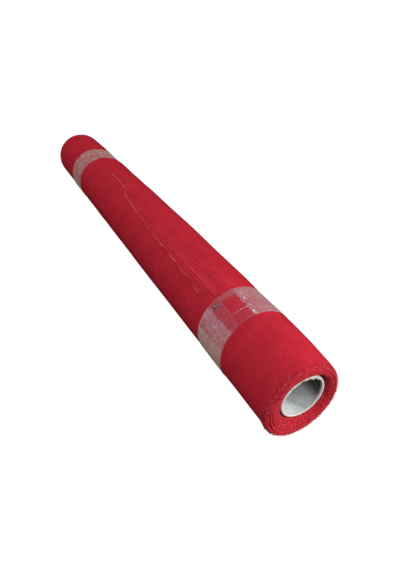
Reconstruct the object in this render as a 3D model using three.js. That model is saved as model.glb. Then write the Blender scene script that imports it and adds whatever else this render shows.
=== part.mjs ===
// A roll of red tulle on a paper tube, held by two bands of clear film.
// Millimetres. The roll lies along X with its slack, near end at +X, and stands on Z = 0.
import * as THREE from "three";
import { mergeVertices } from "three/addons/utils/BufferGeometryUtils.js";

// Driving sizes of the roll
const ROLL_LENGTH = 763;
const AXIS_HEIGHT = 45;
const BORE_RADIUS = 25.5;
const ROLL_SIDES = 60;

// Paper tube: the soft ends of the cloth reach a little past it
const CORE_LENGTH = 754;
const CORE_OUTER_RADIUS = 25;
const CORE_WALL = 2.5;
const CORE_SIDES = 48;
const CORE_STEPS = 4;

// Film bands: the cloth runs level under each one and swells again beside it
const BAND_INNER_RADIUS = 43.8;
const BAND_THICKNESS = 0.8;
const BAND_OVERLAP = 0.35;
const BAND_SAG_Y = -1.1;
const CLOTH_UNDER_BAND = 43.4;
const BAND_SIDE_GAP = 0.8;
const PINCH_LENGTH = 8;
const BANDS = [
  { name: "band_near", centre: 272.6, width: 48, skew: 0, endAngle: 121 },
  { name: "band_far", centre: -246.8, width: 54, skew: 1.6, endAngle: 236 },
];

// Free cut edge of the cloth: a step that runs along the top, wandering round the roll.
// Angles are degrees round the axis, from +Y up to +Z. Columns within the hold bend to follow the edge.
const EDGE_STEP = 0.8;
const EDGE_STEP_WIDTH = 0.9;
const EDGE_MIDDLE = 119;
const EDGE_HOLD = 90;
const FREE_EDGE = [
  { x: 400, angle: 135 },
  { x: 226, angle: 133.5 },
  { x: 150, angle: 128.5 },
  { x: 55, angle: 124 },
  { x: -50, angle: 113 },
  { x: -93, angle: 104 },
  { x: -400, angle: 103 },
];

// Wound form between the shoulders: radius, and how far the slack turns hang off the axis
const WOUND_FORM = [
  { x: 368, radius: 43, sagY: -2.1, sagZ: -1.6 },
  { x: 360, radius: 43.3, sagY: -1.9, sagZ: -1.3 },
  { x: 344, radius: 43.9, sagY: -1.6, sagZ: -0.7 },
  { x: 328, radius: 44.2, sagY: -1.3, sagZ: -0.4 },
  { x: 312, radius: 44.5, sagY: -1.1, sagZ: -0.1 },
  { x: 298, radius: 44.7, sagY: -1, sagZ: 0 },
  { x: 240, radius: 44.8, sagY: -0.8, sagZ: 0 },
  { x: 225, radius: 45, sagY: -0.6, sagZ: 0 },
  { x: 200, radius: 45, sagY: -0.5, sagZ: 0 },
  { x: 165, radius: 45.1, sagY: -0.4, sagZ: 0 },
  { x: 140, radius: 45.2, sagY: -0.3, sagZ: 0 },
  { x: 115, radius: 45.3, sagY: -0.1, sagZ: 0 },
  { x: 75, radius: 45.5, sagY: 0.1, sagZ: 0 },
  { x: 45, radius: 45.4, sagY: 0.1, sagZ: 0 },
  { x: 10, radius: 45.3, sagY: 0, sagZ: 0 },
  { x: -45, radius: 45.4, sagY: 0, sagZ: 0 },
  { x: -68, radius: 45.4, sagY: 0.1, sagZ: 0 },
  { x: -84, radius: 45.2, sagY: 0, sagZ: 0 },
  { x: -100, radius: 44.9, sagY: -0.2, sagZ: 0 },
  { x: -120, radius: 45.1, sagY: -0.4, sagZ: 0 },
  { x: -136, radius: 44.9, sagY: -0.2, sagZ: 0 },
  { x: -160, radius: 45, sagY: -0.1, sagZ: 0 },
  { x: -184, radius: 45.2, sagY: -0.2, sagZ: 0 },
  { x: -208, radius: 45.1, sagY: -0.2, sagZ: 0 },
  { x: -292, radius: 44.2, sagY: -0.7, sagZ: 0 },
  { x: -312, radius: 44.5, sagY: -0.7, sagZ: 0 },
  { x: -328, radius: 44.2, sagY: -1, sagZ: 0 },
  { x: -344, radius: 44.1, sagY: -1.1, sagZ: 0 },
  { x: -366, radius: 44, sagY: -1.2, sagZ: -0.4 },
];

// Rounded shoulder and end face: share of the way from bore to skin, and depth below the end.
// The near end's slack turns droop. The free edge's step runs in over the face as far as its share.
const NEAR_END_FORM = [
  { share: 0.995, depth: 8.5 },
  { share: 0.98, depth: 5.5 },
  { share: 0.955, depth: 3.4 },
  { share: 0.91, depth: 1.6 },
  { share: 0.83, depth: 0.4 },
  { share: 0.76, depth: 1.6 },
  { share: 0.69, depth: 0.1 },
  { share: 0.6, depth: 0 },
  { share: 0.46, depth: 0.7 },
  { share: 0.25, depth: 2.5 },
  { share: 0.1, depth: 4.3 },
  { share: 0, depth: 5.7 },
];
const FAR_END_FORM = [
  { share: 0.99, depth: 12.3 },
  { share: 0.94, depth: 8.7 },
  { share: 0.86, depth: 5.7 },
  { share: 0.76, depth: 3.2 },
  { share: 0.6, depth: 1 },
  { share: 0.39, depth: 0 },
  { share: 0.24, depth: 1 },
  { share: 0.1, depth: 2.9 },
  { share: 0, depth: 4.6 },
];
const NEAR_DROOP = { sagY: -3.6, sagZ: -2.2, depth: 15 };
const FAR_DROOP = { sagY: -1.2, sagZ: -0.6, depth: 15 };
const DROOP_FROM_SHARE = 0.45;
const FACE_EDGE_FROM = 0.6;
const BORE_STEPS = 4;

const radians = THREE.MathUtils.degToRad;
const lerp = THREE.MathUtils.lerp;
const smooth = THREE.MathUtils.smoothstep;

// Value of a named column at x, from rows that run down in x
function columnAt(rows, column, x) {
  const next = rows.findIndex((row) => row.x <= x);
  if (next === 0) return rows[0][column];
  if (next < 0) return rows[rows.length - 1][column];
  const a = rows[next - 1];
  const b = rows[next];
  return lerp(a[column], b[column], (x - a.x) / (b.x - a.x));
}

// 1 where a band holds the cloth down, 0 clear of it
function squeeze(x) {
  let most = 0;
  for (const band of BANDS) {
    const clear = Math.abs(x - band.centre) - band.width / 2 - band.skew - BAND_SIDE_GAP;
    most = Math.max(most, 1 - smooth(clear, 0, PINCH_LENGTH));
  }
  return most;
}

// Share of a layer by which the turn stands out at an angle, full just before the free end
function turnRise(angle, freeEnd) {
  const past = THREE.MathUtils.euclideanModulo(freeEnd - angle, 360);
  return 1 - past / 360;
}

// Closed surface from rings of points, joined round each ring and from the last ring to the first
function closedRings(rings) {
  const count = rings[0].length;
  const positions = [];
  const index = [];
  rings.forEach((ring, k) => {
    const nextRing = (k + 1) % rings.length;
    ring.forEach((point, i) => {
      positions.push(...point);
      const nextPoint = (i + 1) % count;
      const a = k * count + i;
      const b = k * count + nextPoint;
      const c = nextRing * count + nextPoint;
      const d = nextRing * count + i;
      index.push(a, c, b, a, d, c);
    });
  });
  const geometry = new THREE.BufferGeometry();
  geometry.setAttribute("position", new THREE.Float32BufferAttribute(positions, 3));
  geometry.setIndex(index);
  geometry.computeVertexNormals();
  return geometry;
}

// Ring of the cloth at one place, its columns bent so that two of them frame the free edge
function clothRing({ x, radius, sagY, sagZ, rise }) {
  const edge = columnAt(FREE_EDGE, "angle", x);
  const gap = THREE.MathUtils.radToDeg(EDGE_STEP_WIDTH / radius);
  const ring = [];
  for (let i = 0; i <= ROLL_SIDES; i++) {
    const turned = (i * 360) / ROLL_SIDES - (i === ROLL_SIDES ? gap : 0);
    const off = Math.min(turned, 360 - turned);
    const follow = rise > 0 ? 1 - smooth(off, 0, EDGE_HOLD) : 0;
    const angle = EDGE_MIDDLE + turned + (edge - EDGE_MIDDLE) * follow;
    const atEdge = i === 0 ? 0 : turnRise(angle, edge);
    const r = radius + EDGE_STEP * rise * atEdge;
    const y = sagY + r * Math.cos(radians(angle));
    const z = AXIS_HEIGHT + sagZ + r * Math.sin(radians(angle));
    ring.push([x, y, Math.max(z, 0)]);
  }
  return ring;
}

// Rings along the skin, with extra ones at each pinch
function skinPlaces() {
  const places = WOUND_FORM.map((row) => row.x);
  for (const band of BANDS) {
    const half = band.width / 2 + band.skew + BAND_SIDE_GAP;
    for (const out of [0, PINCH_LENGTH / 2]) {
      places.push(band.centre - half - out, band.centre + half + out);
    }
    places.push(band.centre);
  }
  return places.sort((a, b) => b - a);
}

function skinRow(x) {
  const held = squeeze(x);
  return {
    x,
    radius: lerp(columnAt(WOUND_FORM, "radius", x), CLOTH_UNDER_BAND, held),
    sagY: lerp(columnAt(WOUND_FORM, "sagY", x), BAND_SAG_Y, held),
    sagZ: columnAt(WOUND_FORM, "sagZ", x) * (1 - held),
    rise: 1 - held,
  };
}

// Rows of one end, from the shoulder in to the bore; side is 1 at the near end and -1 at the far end
function endRows(side, form, droop, skin) {
  return form.map(({ share, depth }) => {
    const loose = smooth(share, 0, DROOP_FROM_SHARE);
    const skinShare = smooth(depth, 0, droop.depth);
    return {
      x: side * (ROLL_LENGTH / 2 - depth),
      radius: lerp(BORE_RADIUS, skin.radius, share),
      sagY: lerp(droop.sagY, skin.sagY, skinShare) * loose,
      sagZ: lerp(droop.sagZ, skin.sagZ, skinShare) * loose,
      rise: share > FACE_EDGE_FROM ? share * share : 0,
    };
  });
}

function tulleGeometry() {
  const nearSkin = skinRow(WOUND_FORM[0].x);
  const farSkin = skinRow(WOUND_FORM[WOUND_FORM.length - 1].x);
  const near = endRows(1, NEAR_END_FORM, NEAR_DROOP, nearSkin).reverse();
  const far = endRows(-1, FAR_END_FORM, FAR_DROOP, farSkin);
  const boreRows = [];
  for (let i = 1; i < BORE_STEPS; i++) {
    const x = lerp(far[far.length - 1].x, near[0].x, i / BORE_STEPS);
    boreRows.push({ x, radius: BORE_RADIUS, sagY: 0, sagZ: 0, rise: 0 });
  }
  const rows = [...near, ...skinPlaces().map(skinRow), ...far, ...boreRows];
  return closedRings(rows.map(clothRing));
}

// A band: one tight ring of film whose free end makes a small step
function bandGeometry({ width, skew, endAngle }) {
  const half = width / 2;
  const across = [
    { x: half, lift: BAND_THICKNESS },
    { x: 0, lift: BAND_THICKNESS },
    { x: -half, lift: BAND_THICKNESS },
    { x: -half, lift: 0 },
    { x: 0, lift: 0 },
    { x: half, lift: 0 },
  ];
  const gap = THREE.MathUtils.radToDeg(BAND_OVERLAP / BAND_INNER_RADIUS);
  const rings = across.map(({ x, lift }) => {
    const ring = [];
    for (let i = 0; i <= ROLL_SIDES; i++) {
      const angle = endAngle + (i * 360) / ROLL_SIDES - (i === ROLL_SIDES ? gap : 0);
      const step = i === ROLL_SIDES ? 0 : BAND_OVERLAP * (1 - i / ROLL_SIDES);
      const r = BAND_INNER_RADIUS + lift + (lift > 0 ? step : 0);
      const lean = skew * Math.cos(radians(angle - endAngle));
      ring.push([x + lean, r * Math.cos(radians(angle)), r * Math.sin(radians(angle))]);
    }
    return ring;
  });
  return closedRings(rings);
}

// The tube is turned from its wall's closed outline, and lies along X
function coreGeometry() {
  const half = CORE_LENGTH / 2;
  const inner = CORE_OUTER_RADIUS - CORE_WALL;
  const outline = [];
  for (let i = 0; i <= CORE_STEPS; i++) {
    outline.push(new THREE.Vector2(CORE_OUTER_RADIUS, lerp(-half, half, i / CORE_STEPS)));
  }
  for (let i = 0; i <= CORE_STEPS; i++) {
    outline.push(new THREE.Vector2(inner, lerp(half, -half, i / CORE_STEPS)));
  }
  outline.push(outline[0].clone());
  const turned = new THREE.LatheGeometry(outline, CORE_SIDES);
  turned.deleteAttribute("normal");
  turned.deleteAttribute("uv");
  return mergeVertices(turned);
}

function piece(name, geometry, finish) {
  const made = new THREE.Mesh(geometry, new THREE.MeshStandardMaterial(finish));
  made.name = name;
  return made;
}

const TULLE_FINISH = { color: 0xb01c30, roughness: 0.85, metalness: 0 };
const PAPER_FINISH = { color: 0xd8d4c8, roughness: 0.9, metalness: 0 };
const FILM_FINISH = { color: 0xd6b4bd, roughness: 0.25, metalness: 0, transparent: true, opacity: 0.6 };

const roll = new THREE.Group();
roll.add(piece("tulle_roll", tulleGeometry(), TULLE_FINISH));

const core = piece("paper_core", coreGeometry(), PAPER_FINISH);
core.rotation.z = -Math.PI / 2;
core.position.z = AXIS_HEIGHT;
roll.add(core);

for (const band of BANDS) {
  const made = piece(band.name, bandGeometry(band), FILM_FINISH);
  made.position.set(band.centre, BAND_SAG_Y, AXIS_HEIGHT);
  roll.add(made);
}

export default roll;
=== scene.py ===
import math

import bpy
import numpy as np
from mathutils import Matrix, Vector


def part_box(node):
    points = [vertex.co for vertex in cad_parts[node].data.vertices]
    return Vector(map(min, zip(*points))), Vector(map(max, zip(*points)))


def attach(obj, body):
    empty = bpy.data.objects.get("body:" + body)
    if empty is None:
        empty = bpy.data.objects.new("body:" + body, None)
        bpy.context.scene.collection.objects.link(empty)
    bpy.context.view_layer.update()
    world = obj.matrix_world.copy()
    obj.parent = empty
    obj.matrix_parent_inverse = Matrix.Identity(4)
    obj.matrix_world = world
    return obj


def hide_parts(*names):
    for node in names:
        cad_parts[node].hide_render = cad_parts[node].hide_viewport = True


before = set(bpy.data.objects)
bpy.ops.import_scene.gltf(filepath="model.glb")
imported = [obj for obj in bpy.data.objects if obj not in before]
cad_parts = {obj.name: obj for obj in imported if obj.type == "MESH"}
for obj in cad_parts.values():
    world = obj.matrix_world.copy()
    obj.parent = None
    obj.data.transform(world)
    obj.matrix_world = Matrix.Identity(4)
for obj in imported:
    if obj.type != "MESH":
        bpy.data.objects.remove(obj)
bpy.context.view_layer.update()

# The view
# The roll runs away from the eye, its slack end nearest, seen from above and from its left side,
# as on a photo table.
VIEW_TURN = math.radians(62.49)
VIEW_DOWN = math.radians(34.74)
camera = bpy.data.objects.new("camera", bpy.data.cameras.new("camera"))
camera.location = (0.5971, -0.2239, 0.3799)
camera.rotation_euler = (math.pi / 2 - VIEW_DOWN, 0, VIEW_TURN)
camera.data.lens = 29.41
bpy.context.collection.objects.link(camera)
bpy.context.scene.camera = camera
bpy.context.scene.view_settings.view_transform = "Standard"


# The photo table
# A white sweep under one soft lamp, on the roll's right and before its near end, so that its light
# falls off along the roll. White walls all round fill the shade. The sweep throws little light back.
def node(tree, kind, *given, **settings):
    """Adds a node. settings are its properties, and given its inputs in order: numbers or other
    nodes' outputs."""
    made = tree.nodes.new(kind)
    for name, value in settings.items():
        setattr(made, name, value)
    for socket, value in zip(made.inputs, given):
        if isinstance(value, bpy.types.NodeSocket):
            tree.links.new(value, socket)
        elif value is not None:
            socket.default_value = value
    return made


TABLE_HALF = 12
LAMP_PLACE = (0.90, 0.52, 0.345)
LAMP_AIM = (0.2, 0, 0.045)
LAMP_SIZE = 0.5
LAMP_WATTS = 5.0
WALL_LIGHT = 0.69
TABLE_GREY = (0.15, 0.15, 0.15, 1)
TABLE_SHADE = (0.04, 0.04, 0.04, 1)
TABLE_LIFT = 1.0
corners = [(x * TABLE_HALF, y * TABLE_HALF, 0) for x, y in ((-1, -1), (1, -1), (1, 1), (-1, 1))]
table_mesh = bpy.data.meshes.new("photo_table")
table_mesh.from_pydata(corners, [], [(0, 1, 2, 3)])
table = bpy.data.objects.new("photo_table", table_mesh)
bpy.context.collection.objects.link(table)
sweep = bpy.data.materials.new("white_sweep")
sweep.use_nodes = True
sweep.node_tree.nodes.clear()
dull = node(sweep.node_tree, "ShaderNodeBsdfDiffuse", TABLE_GREY)
shade = node(sweep.node_tree, "ShaderNodeBsdfDiffuse", TABLE_SHADE)
lift = node(sweep.node_tree, "ShaderNodeEmission", (1, 1, 1, 1), TABLE_LIFT)
both = node(sweep.node_tree, "ShaderNodeAddShader", shade.outputs[0], lift.outputs[0])
seen = node(sweep.node_tree, "ShaderNodeLightPath").outputs["Is Camera Ray"]
shown = node(sweep.node_tree, "ShaderNodeMixShader", seen, dull.outputs[0], both.outputs[0])
node(sweep.node_tree, "ShaderNodeOutputMaterial", shown.outputs[0])
table_mesh.materials.append(sweep)

lamp = bpy.data.objects.new("broad_lamp", bpy.data.lights.new("broad_lamp", "AREA"))
lamp.data.energy = LAMP_WATTS
lamp.data.size = LAMP_SIZE
lamp.location = LAMP_PLACE
ray = [a - b for a, b in zip(LAMP_PLACE, LAMP_AIM)]
lamp.rotation_euler = (math.atan2(math.hypot(*ray[:2]), ray[2]), 0, math.atan2(ray[0], -ray[1]))
bpy.context.collection.objects.link(lamp)

walls = bpy.data.worlds.new("white_walls")
walls.use_nodes = True
walls.node_tree.nodes.clear()
fill = node(walls.node_tree, "ShaderNodeBackground", (1, 1, 1, 1), WALL_LIGHT)
bright = node(walls.node_tree, "ShaderNodeBackground", (1, 1, 1, 1), 1.0)
seen = node(walls.node_tree, "ShaderNodeLightPath").outputs["Is Camera Ray"]
shown = node(walls.node_tree, "ShaderNodeMixShader", seen, fill.outputs[0], bright.outputs[0])
node(walls.node_tree, "ShaderNodeOutputWorld", shown.outputs[0])
bpy.context.scene.world = walls

# Wound cloth
# Some hundred turns of folded tulle on a paper tube. The bands pinch it in, its near end hangs
# slack off the tube, its ends are soft shoulders of turn edges, and its weight flattens the underside.
MM = 0.001
core_low, core_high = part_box("paper_core")
AXIS_Z = (core_low.z + core_high.z) / 2
CORE_R = (core_high.z - core_low.z) / 2
END_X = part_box("tulle_roll")[1].x
BORE_R = CORE_R + 0.5 * MM

# Columns: place along the roll, radius, and how far the turns hang off the axis in Y and in Z
FORM_X, FORM_RADIUS, FORM_SAG_Y, FORM_SAG_Z = MM * np.array([
    (-366, 44.0, -1.2, -0.4), (-344, 44.1, -1.1, 0), (-328, 44.2, -1.0, 0), (-312, 44.5, -0.7, 0),
    (-292, 44.2, -0.7, 0), (-208, 45.1, -0.2, 0), (-184, 45.2, -0.2, 0), (-160, 45.0, -0.1, 0),
    (-136, 44.9, -0.2, 0), (-120, 45.1, -0.4, 0), (-100, 44.9, -0.2, 0), (-84, 45.2, 0, 0),
    (-68, 45.4, 0.1, 0), (-45, 45.4, 0, 0), (10, 45.3, 0, 0), (45, 45.4, 0.1, 0),
    (75, 45.5, 0.1, 0), (115, 45.3, -0.1, 0), (140, 45.2, -0.3, 0), (165, 45.1, -0.4, 0),
    (200, 45.0, -0.5, 0), (225, 45.0, -0.6, 0), (240, 44.8, -0.8, 0), (298, 44.7, -1.0, 0),
    (312, 44.5, -1.1, -0.1), (328, 44.2, -1.3, -0.4), (344, 43.9, -1.6, -0.7), (360, 43.3, -1.9, -1.3),
    (368, 43.0, -2.1, -1.6),
]).T
FORM_EASE = 5 * MM
BAND_SAG_Y = -1.1 * MM
BAND_MARGIN = 0.6 * MM
UNEVEN = 0.22 * MM
# The wound cloth lies this much inside the outermost turn, and this much off the floor
LAYER = 0.5 * MM
UNDER_FLOOR = 0.3 * MM
# Each pinch: the cloth's radius under the film and its taper, the flanks where it swells again, and
# how far past the band's near side it stays held
PINCHES = [
    {"node": "band_near", "radius": 44.55 * MM, "taper": 0.006, "far_flank": 9 * MM, "near_flank": 4.5 * MM,
     "near_margin": 0.6 * MM},
    {"node": "band_far", "radius": 44.45 * MM, "taper": 0.0, "far_flank": 18 * MM, "near_flank": 4 * MM,
     "near_margin": 6 * MM},
]


def smooth(t):
    t = np.clip(t, 0, 1)
    return t * t * (3 - 2 * t)


def mix(a, b, t):
    return a + (b - a) * t


def soft_noise(turn, length, round_cells, long_cells, seed):
    """Smooth random waves from -1 to 1 that close round the roll; turn and length are shares of 1."""
    grid = np.random.default_rng(seed).uniform(-1, 1, (round_cells, long_cells + 2))
    u, v = np.broadcast_arrays((turn % 1) * round_cells, np.clip(length, 0, 1) * long_cells)
    i, j = np.floor(u).astype(int), np.floor(v).astype(int)
    fu, fv = smooth(u - i), smooth(v - j)
    i, after = i % round_cells, (i + 1) % round_cells
    low = mix(grid[i, j], grid[after, j], fu)
    high = mix(grid[i, j + 1], grid[after, j + 1], fu)
    return mix(low, high, fv)


def form(column, x):
    """A column of the form's table at x, eased over a few millimetres."""
    nearby = np.linspace(-1, 1, 7) * FORM_EASE
    return np.interp(np.asarray(x)[..., None] + nearby, FORM_X, column).mean(-1)


def pinched(pinch, x):
    """1 where a band holds the cloth down, falling to 0 beside it."""
    low, high = (corner.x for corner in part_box(pinch["node"]))
    far = (low - BAND_MARGIN - x) / pinch["far_flank"]
    near = (x - high - pinch["near_margin"]) / pinch["near_flank"]
    return (1 - np.clip(np.maximum(far, near), 0, 1)) ** 2


def held(x):
    return np.maximum(pinched(PINCHES[0], x), pinched(PINCHES[1], x))


def under_film(pinch, x):
    low, high = (corner.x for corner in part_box(pinch["node"]))
    return pinch["radius"] + pinch["taper"] * np.clip(x - (low + high) / 2, low - high, high - low)


def skin_radius(x, angle):
    """Radius of the wound cloth at x and at an angle in degrees, from +Y up to +Z."""
    waves = soft_noise(angle / 360, (x + END_X) / (2 * END_X), 7, 16, 11)
    radius = form(FORM_RADIUS, x) + UNEVEN * waves
    for pinch in PINCHES:
        radius = mix(radius, under_film(pinch, x), pinched(pinch, x))
    return radius


def sag(x):
    """How far the section at x hangs off the axis, in Y and in Z."""
    squeezed = held(x)
    return mix(form(FORM_SAG_Y, x), BAND_SAG_Y, squeezed), form(FORM_SAG_Z, x) * (1 - squeezed)


def section(x, angle, radius, off, floor=0.0):
    """Points round the axis, moved off it, and flat where the roll lies."""
    x, angle, radius = np.broadcast_arrays(x, np.radians(angle), radius)
    y = off[0] + radius * np.cos(angle)
    z = AXIS_Z + off[1] + radius * np.sin(angle)
    return np.stack([x, y, np.maximum(z, floor)], -1)


def on_roll(x, angle, radius, floor=0.0):
    return section(x, angle, radius, sag(x), floor)


# Each end from bore to skin: share of the way out and depth below the end, and the droop of its turns
DROOP_DEPTH = 15 * MM
DROOP_FROM = 0.45
ENDS = {
    1: {"droop": (-3.6 * MM, -2.2 * MM), "profile": [
        (0.00, 13.0), (0.03, 6.0), (0.10, 4.0), (0.25, 2.5), (0.46, 0.7), (0.60, 0.1), (0.72, 0.0),
        (0.83, 0.4), (0.91, 1.6), (0.955, 3.4), (0.98, 5.5), (0.995, 8.5), (1.00, 13.5),
    ]},
    -1: {"droop": (-1.2 * MM, -0.6 * MM), "profile": [
        (0.00, 4.6), (0.10, 2.9), (0.24, 1.0), (0.39, 0.0), (0.60, 1.0), (0.76, 3.2), (0.86, 5.7),
        (0.94, 8.7), (0.99, 12.3), (1.00, 15.5),
    ]},
}
PROFILE_POINTS = 240
for end in ENDS.values():
    share, depth = np.array(end["profile"]).T
    depth = depth * MM
    wide = 17.5 * MM
    arc = np.concatenate([[0], np.cumsum(np.hypot(np.diff(share) * wide, np.diff(depth)))])
    way = np.linspace(0, arc[-1], PROFILE_POINTS)
    kernel = np.ones(15) / 15
    eased = []
    for column in (share, depth):
        dense = np.interp(way, arc, column)
        padded = np.concatenate([2 * dense[0] - dense[7:0:-1], dense, 2 * dense[-1] - dense[-2:-9:-1]])
        eased.append(np.convolve(padded, kernel, "valid"))
    end["way"], end["share"], end["depth"] = way / arc[-1], eased[0], eased[1]

END_TURNS = 19
TURN_RIDGE = 0.28 * MM
END_WAVES = 0.4 * MM
# Where a few turns have slipped apart: share, middle angle, half width in degrees, depth
PARTED_TURNS = [
    {"side": 1, "share": 0.46, "angle": 185, "half": 85, "depth": 3.4 * MM},
    {"side": 1, "share": 0.70, "angle": 180, "half": 65, "depth": 3.2 * MM},
    {"side": 1, "share": 0.62, "angle": 25, "half": 45, "depth": 1.2 * MM},
    {"side": -1, "share": 0.62, "angle": 120, "half": 80, "depth": 1.6 * MM},
    {"side": -1, "share": 0.44, "angle": 300, "half": 60, "depth": 1.4 * MM},
]
PARTED_WIDTH = 0.028
# The innermost turns stand off the tube here and there: side, middle angle, gap
LOOSE_BORE = [
    {"side": 1, "angle": 28, "gap": 2.6 * MM},
    {"side": 1, "angle": 216, "gap": 1.6 * MM},
    {"side": -1, "angle": 95, "gap": 0.8 * MM},
]


def angle_off(angle, middle):
    return (angle - middle + 180) % 360 - 180


def end_place(side, way, angle, lift=-LAYER, plain=False):
    """Points of an end's surface, from the bore at way 0 to the skin at way 1."""
    way, angle = np.broadcast_arrays(way, angle)
    end = ENDS[side]
    share = np.interp(way, end["way"], end["share"])
    depth = np.interp(way, end["way"], end["depth"])
    skin_x = side * (END_X - end["depth"][-1])
    inner = BORE_R
    for loose in LOOSE_BORE:
        if loose["side"] == side:
            lift_off = np.clip(np.cos(np.radians(angle_off(angle, loose["angle"]))), 0, 1) ** 2.5
            inner = inner + loose["gap"] * lift_off
    outer = skin_radius(np.full_like(way, skin_x), angle) + lift
    radius = mix(inner, outer, share)
    loosened = smooth(share / DROOP_FROM)
    skin_share = smooth(depth / DROOP_DEPTH)
    skin_sag = sag(np.full_like(way, skin_x))
    off = [mix(droop, hang, skin_share) * loosened for droop, hang in zip(end["droop"], skin_sag)]
    if not plain:
        fade = smooth((1 - way) / 0.12)
        depth = depth - fade * TURN_RIDGE * np.cos(2 * math.pi * (way * END_TURNS - angle / 360))
        depth = depth + fade * END_WAVES * soft_noise(angle / 360, way, 9, 5, 23 + side)
        for gap in PARTED_TURNS:
            if gap["side"] == side:
                window = smooth(1.4 - 1.4 * np.abs(angle_off(angle, gap["angle"])) / gap["half"])
                wander = gap["share"] + 0.02 * np.sin(np.radians(angle * 3))
                depth = depth + gap["depth"] * window * np.exp(-(((share - wander) / PARTED_WIDTH) ** 2))
    return section(side * (END_X - depth), angle, radius, off, floor=UNDER_FLOOR if lift < 0 else 0.0)


def grid_piece(name, points, uv=None, close_round=True, close_long=False, marks=None, turned=False):
    """A piece from rows of points. uv holds two arrays with a row and a column more than the points."""
    rows, columns = points.shape[:2]
    index = np.arange(rows * columns).reshape(rows, columns)
    if close_long:
        index = np.vstack([index, index[:1]])
    if close_round:
        index = np.hstack([index, index[:, :1]])
    corners = [index[:-1, :-1], index[1:, :-1], index[1:, 1:], index[:-1, 1:]]
    places = [(0, 0), (1, 0), (1, 1), (0, 1)]
    if turned:
        corners, places = corners[::-1], places[::-1]
    faces = np.stack(corners, -1).reshape(-1, 4)
    mesh = bpy.data.meshes.new(name)
    mesh.from_pydata(points.reshape(-1, 3).tolist(), [], faces.tolist())
    mesh.polygons.foreach_set("use_smooth", np.ones(len(faces), bool))
    if uv is not None:
        high, wide = index.shape[0] - 1, index.shape[1] - 1
        layer = mesh.uv_layers.new(name="cloth")
        flat = np.zeros((high, wide, 4, 2))
        for corner, (down, across) in enumerate(places):
            for axis in (0, 1):
                whole = np.broadcast_to(uv[axis], (high + 1, wide + 1))
                flat[:, :, corner, axis] = whole[down:high + down, across:wide + across]
        layer.data.foreach_set("uv", flat.ravel())
    for mark, values in (marks or {}).items():
        if np.ndim(values) == 3:
            layer = mesh.attributes.new(mark, "FLOAT_COLOR", "POINT")
            solid = np.pad(values, ((0, 0), (0, 0), (0, 1)), constant_values=1)
            layer.data.foreach_set("color", solid.ravel())
        else:
            layer = mesh.attributes.new(mark, "FLOAT", "POINT")
            whole = np.broadcast_to(values, (rows, columns))
            layer.data.foreach_set("value", whole.ravel().astype(np.float32))
    made = bpy.data.objects.new(name, mesh)
    bpy.context.collection.objects.link(made)
    return made


CLOTH_COLUMNS = 240
END_ROWS = 90
SKIN_ROWS = 150
BORE_ROWS = 3
angles = np.arange(CLOTH_COLUMNS)[None, :] * (360 / CLOTH_COLUMNS)
ways = np.linspace(0, 1, END_ROWS)[:, None]
near_skin = END_X - ENDS[1]["depth"][-1]
far_skin = -(END_X - ENDS[-1]["depth"][-1])
skin_x = np.linspace(near_skin, far_skin, SKIN_ROWS + 2)[1:-1, None]
bore_x = np.linspace(far_skin, near_skin, BORE_ROWS)[:, None]
cloth_rows = np.vstack([
    end_place(1, ways, angles),
    on_roll(skin_x, angles, skin_radius(skin_x, angles) - LAYER, floor=UNDER_FLOOR),
    end_place(-1, ways[::-1], angles),
    section(bore_x, angles, BORE_R, (0, 0)),
])
# The roll's radius in mm, for lengths round it
ROLL_MM = 45.5
ROUND = 2 * math.pi * ROLL_MM * MM
row_x = cloth_rows[:, :1, 0]
row_x = np.vstack([row_x, row_x[:1]])
round_share = np.linspace(0, 1, CLOTH_COLUMNS + 1)[None, :]
wound_cloth = grid_piece(
    "wound_cloth", cloth_rows, uv=(round_share * ROUND, row_x + 0.4), close_long=True
)

NET_HOLE = 1.35
THREAD_SHARE = 0.3


def net_group():
    """A shader group that is 1 on the threads of a hexagonal net and 0 in its holes."""
    tree = bpy.data.node_groups.new("net_threads", "ShaderNodeTree")
    tree.interface.new_socket("Place in mm", in_out="INPUT", socket_type="NodeSocketVector")
    tree.interface.new_socket("Threads", in_out="OUTPUT", socket_type="NodeSocketFloat")
    place = node(tree, "NodeGroupInput").outputs[0]
    size = (NET_HOLE, NET_HOLE * 3 ** 0.5, 1)
    half = (NET_HOLE / 2, NET_HOLE * 3 ** 0.5 / 2, 0)

    def vector(operation, *given):
        return node(tree, "ShaderNodeVectorMath", *given, operation=operation)

    def number(operation, *given):
        return node(tree, "ShaderNodeMath", *given, operation=operation).outputs[0]

    def from_centre(at):
        cell = vector("FRACTION", vector("DIVIDE", at, size).outputs[0]).outputs[0]
        return vector("SUBTRACT", vector("MULTIPLY", cell, size).outputs[0], half).outputs[0]

    one = from_centre(place)
    other = from_centre(vector("SUBTRACT", place, half).outputs[0])
    near_one = vector("DOT_PRODUCT", one, one).outputs["Value"]
    near_other = vector("DOT_PRODUCT", other, other).outputs["Value"]
    closer = number("LESS_THAN", near_other, near_one)
    pick = node(tree, "ShaderNodeMix", data_type="VECTOR")
    tree.links.new(closer, pick.inputs[0])
    tree.links.new(one, pick.inputs[4])
    tree.links.new(other, pick.inputs[5])
    side = node(tree, "ShaderNodeSeparateXYZ", vector("ABSOLUTE", pick.outputs[1]).outputs[0])
    slant = number("ADD", number("MULTIPLY", side.outputs[0], 0.5),
                   number("MULTIPLY", side.outputs[1], 3 ** 0.5 / 2))
    reach = number("DIVIDE", number("MAXIMUM", side.outputs[0], slant), NET_HOLE / 2)
    soft = node(tree, "ShaderNodeMapRange", reach, 1 - 1.9 * THREAD_SHARE, 1 - 0.4 * THREAD_SHARE,
                interpolation_type="SMOOTHSTEP")
    node(tree, "NodeGroupOutput", soft.outputs[0])
    return tree


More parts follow.
